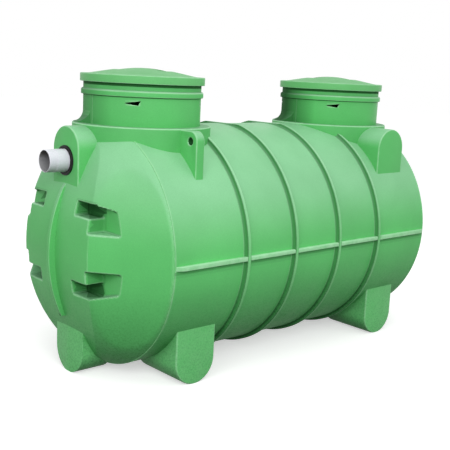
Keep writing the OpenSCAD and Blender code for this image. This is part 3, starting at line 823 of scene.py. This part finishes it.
crown = [(dome_r * (1 - i / 24) + dome_tip * i / 24, dome_z(dome_r * (1 - i / 24)))
         for i in range(1, 25)]
rim = rounded([(lid_r - lid_t, neck_top), (lid_r - lid_t, lid_low.z),
               (lid_r, lid_low.z), (lid_r, neck_top + lid_t), (dome_r, neck_top + lid_t)],
              0.0045, 4)
steps = [(dome_tip, neck_top), (lid_r - 0.02, neck_top)] + rim + crown
for side, neck_x in zip(("inlet", "outlet"), necks):
    foot = Vector((neck_x, 0, 0))
    lid = ring_up(side + "_lid", "Z", foot, steps, 256, "poles")
    for hand in (1, -1):
        xs = sorted((neck_x + hand * grip_web / 2, neck_x + hand * dome_r))
        ys = sorted((0, -hand * dome_r))
        drill(lid, block("grip", (xs[0], ys[0], grip_z), (xs[1], ys[1], grip_z + 0.1)))
    soften(lid, lid_edge, 38, 2)

    def on_grip_wall(place):
        across = abs(abs(place.x - neck_x) - grip_web / 2)
        return place.z > grip_z and min(abs(place.y), across) < 0.0001

    # Painted shade on the grip's upright walls.
    finish_piece(lid, lid_green, "lid_shell", side + "_lid",
                 painted_shade_at=lambda place: grip_wall_shade * on_grip_wall(place))

# ---- Pipe blocks ------------------------------------------------------------------------------
# An arched block grows out of each dished end in front of its collar, and gives the pipe's seal a
# flat upright face. The outlet's hole is a little lower than the inlet's.
block_low, block_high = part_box("inlet_block")
block_r = (block_high.y - block_low.y) / 2
arch_z = block_high.z - block_r
block_down, block_deep, block_edge, block_way_r = -0.33, 0.15, 0.006, 0.062


def arch_piece(name, axis, centre, radius, legs, depth, edge):
    """An upright slab with one round end. It starts from a circle at centre; legs is how far the
    straight sides go up or down, depth how far the slab goes along its axis."""
    bpy.ops.object.select_all(action="DESELECT")
    bpy.ops.mesh.primitive_circle_add(vertices=96, radius=radius, location=centre,
                                      rotation=TURNS[axis])
    piece = bpy.context.object
    piece.name = piece.data.name = name
    set_in_place(piece)
    way = math.copysign(1, legs)
    pick(piece, "VERT", lambda co: (co.z - centre[2]) * way > 1e-5)
    bpy.ops.mesh.delete(type="VERT")
    done()
    pick(piece, "VERT", lambda co: abs(co.z - centre[2]) < 1e-5)
    bpy.ops.mesh.extrude_region_move(TRANSFORM_OT_translate={"value": (0, 0, legs)})
    bpy.ops.mesh.select_all(action="SELECT")
    bpy.ops.mesh.edge_face_add()
    bpy.ops.mesh.extrude_region_move(TRANSFORM_OT_translate={"value": AXES[axis] * depth})
    bpy.ops.mesh.select_all(action="SELECT")
    bpy.ops.mesh.normals_make_consistent(inside=False)
    done()
    soften(piece, edge)
    return piece


inlet_block = arch_piece("inlet_block", "X", (block_low.x, 0, arch_z), block_r, block_down,
                         block_deep, block_edge)
outlet_block = half_turn(inlet_block, "outlet_block")
for side, piece in (("inlet", inlet_block), ("outlet", outlet_block)):
    bore_for_pipe(piece, side, block_way_r)
    finish_piece(piece, tank_green, "tank_shell", side + "_block")

# ---- Side blocks ------------------------------------------------------------------------------
# A blank block of the same shape stands beside one collar on each side, where another pipe
# could be let in.
side_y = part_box("front_side_block")[0].y
side_deep = 0.185
front_side_block = arch_piece("front_side_block", "Y", (necks[1], side_y, arch_z), block_r,
                              block_down, side_deep, block_edge)
rear_side_block = half_turn(front_side_block, "rear_side_block")
finish_piece(front_side_block, tank_green, "tank_shell", "front_side_block")
finish_piece(rear_side_block, tank_green, "tank_shell", "rear_side_block")

# ---- Lifting lugs -----------------------------------------------------------------------------
# A thick upright plate beside one collar on each side has a rounded outer corner and an eye for a
# shackle.
lug_low, lug_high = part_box("front_lifting_lug")
lug_inner, lug_sunk, lug_edge = -0.325, 0.02, 0.005
lug_round, eye_r, eye_shade = 0.050, 0.019, 3.0
eye_y, eye_z = lug_low.y + lug_round, lug_high.z - lug_round
front_lug = block("front_lifting_lug", (lug_low.x, lug_low.y, lug_low.z - lug_sunk),
                  (lug_high.x, lug_inner, lug_high.z))
pick(front_lug, "EDGE", lambda a, b: min(a.z, b.z) > lug_high.z - 1e-4 and max(a.y, b.y) < -0.4)
bpy.ops.mesh.bevel(offset=lug_round, segments=16, affect="EDGES")
done()
drill(front_lug, rod("eye", "X", (necks[0], eye_y, eye_z), eye_r, 0.2, 48))
soften(front_lug, lug_edge)
rear_lug = half_turn(front_lug, "rear_lifting_lug")
for face, hand, piece in (("front", 1, front_lug), ("rear", -1, rear_lug)):
    eye = Vector((hand * eye_y, eye_z))
    # Painted shade inside the lug's eye.
    finish_piece(piece, tank_green, "tank_shell", face + "_lifting_lug",
                 painted_shade_at=lambda place: eye_shade * ((place.yz - eye).length < eye_r + 0.001 and
                                                    abs(abs(place.x) + necks[0]) < 0.020))

# ---- Side feet --------------------------------------------------------------------------------
# Four hollow feet are moulded out of the barrel's underside. Each has upright sides and a round
# underside that is flattened where it stands.
foot_low, foot_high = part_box("front_inlet_foot")
foot_r = (foot_high.x - foot_low.x) / 2
foot_l = foot_high.y - foot_low.y
foot_flat, foot_up, foot_edge, foot_highlight = 0.003, 0.46, 0.007, 0.3
for name, twin_name, x in (("front_inlet_foot", "rear_outlet_foot", necks[0]),
                           ("front_outlet_foot", "rear_inlet_foot", necks[1])):
    foot = arch_piece(name, "Y", (x, foot_low.y, foot_r - foot_flat), foot_r, foot_up, foot_l,
                      foot_edge)
    bisect(foot, (0, 0, 0), (0, 0, 1), "inner")
    drill(foot, rod("barrel_space", "X", on_axis, barrel_r - 0.007, 2 * half_l, 256))
    twin = half_turn(foot, twin_name)
    for piece, node in ((foot, name), (twin, twin_name)):
        # A painted highlight lightens the whole foot.
        finish_piece(piece, tank_green, "tank_shell", node, rubbed_and_lit=lambda place: foot_highlight)

# ---- End feet ---------------------------------------------------------------------------------
# A like foot stands under each dished end. Its face is folded along the middle as the end panel
# is.
toe_low, toe_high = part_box("inlet_end_foot")
toe_fold, toe_up, toe_spare = math.radians(3), 0.40, 0.02
toe = arch_piece("inlet_end_foot", "X", (toe_low.x - toe_spare, 0, foot_r - foot_flat), foot_r,
                 toe_up, toe_high.x - toe_low.x + toe_spare, 0.001)
for turn in (toe_fold, -toe_fold):
    bisect(toe, (toe_low.x, 0, 0), (math.cos(turn), math.sin(turn), 0), "inner")
soften(toe, foot_edge)
bisect(toe, (0, 0, 0), (0, 0, 1), "inner")
drill(toe, end_former)
rear_toe = half_turn(toe, "outlet_end_foot")
for piece, node in ((toe, "inlet_end_foot"), (rear_toe, "outlet_end_foot")):
    # A painted highlight lightens the whole foot.
    finish_piece(piece, tank_green, "tank_shell", node, rubbed_and_lit=lambda place: foot_highlight)

# ---- Seals ------------------------------------------------------------------------------------
# A black rubber seal is pressed into each block's hole. Its ring sits on the block's face, and
# its sleeve fills the hole round the pipe.
seal_low, seal_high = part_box("inlet_seal")
seal_r = (seal_high.y - seal_low.y) / 2
sleeve_out, sleeve_in, sleeve_l = 0.0615, 0.0568, 0.032
rubber = moulded("black_rubber", base=(0.006, 0.007, 0.007, 1), rubbed_and_lit=(0.014, 0.014, 0.014, 1),
                 dirt_and_shade=(0.012, 0.014, 0.010, 1), rub_and_highlight=0.4, dirt_and_shade_amount=0.3, splash_top=0.2,
                 painted_top=(0.009, 0.009, 0.009, 1), painted_top_amount=0.5)
for side in ("inlet", "outlet"):
    low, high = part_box(side + "_seal")
    way = math.copysign(1, low.x)
    face = max(abs(low.x), abs(high.x))
    pipe_z = (low.z + high.z) / 2
    section = [(sleeve_out, face - sleeve_l), (sleeve_in, face - sleeve_l),
               (sleeve_in, face - 0.002)]
    section += rounded([(sleeve_in, face - 0.001), (0.0600, face + 0.0010), (0.0635, face - 0.0035),
                        (0.0680, face - 0.0005), (seal_r, face - 0.0010),
                        (seal_r, face - 0.0095)], 0.0022)
    section += [(sleeve_out, face - 0.0095)]
    seal = ring_up(side + "_seal", "X", Vector((0, 0, pipe_z)),
                   [(r, x * way) for r, x in section], 96, "loop")
    finish_piece(seal, rubber, "black_seal", side + "_seal")

# ---- Pipes ------------------------------------------------------------------------------------
# A grey extruded drain pipe is pushed through each seal. Its outer end is cut square with a small
# chamfer, to go into the socket of the pipe outside.
pipe_r, pipe_t, shoulder_r, pipe_bore_shade = 0.055, 0.0032, 0.0565, 2.3
pvc = moulded("grey_plastic", base=(0.64, 0.65, 0.71, 1), rubbed_and_lit=(0.70, 0.71, 0.75, 1),
              dirt_and_shade=(0.11, 0.11, 0.10, 1), rub_and_highlight=0.4, dirt_and_shade_amount=0.5, splash_top=0.2,
              painted_top=(0.70, 0.71, 0.76, 1), painted_top_amount=0.6)
for side in ("inlet", "outlet"):
    low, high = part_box(side + "_pipe")
    way = math.copysign(1, low.x)
    tip, root = max(abs(low.x), abs(high.x)), min(abs(low.x), abs(high.x))
    pipe_z = (low.z + high.z) / 2
    section = [(pipe_r - pipe_t, root), (shoulder_r, root), (shoulder_r, end_x + 0.009),
               (pipe_r, end_x + 0.0105), (pipe_r, tip - 0.004), (pipe_r - 0.0004, tip - 0.001),
               (pipe_r - 0.0011, tip), (pipe_r - pipe_t + 0.0006, tip),
               (pipe_r - pipe_t, tip - 0.0008)]
    pipe = ring_up(side + "_pipe", "X", Vector((0, 0, pipe_z)),
                   [(r, x * way) for r, x in section], 128, "loop")
    # Painted shade inside the pipe's bore.
    finish_piece(pipe, pvc, "grey_pipe", side + "_pipe",
                 painted_shade_at=lambda place: pipe_bore_shade * (math.hypot(place.y, place.z - pipe_z)
                                                     < pipe_r - pipe_t + 0.0002))
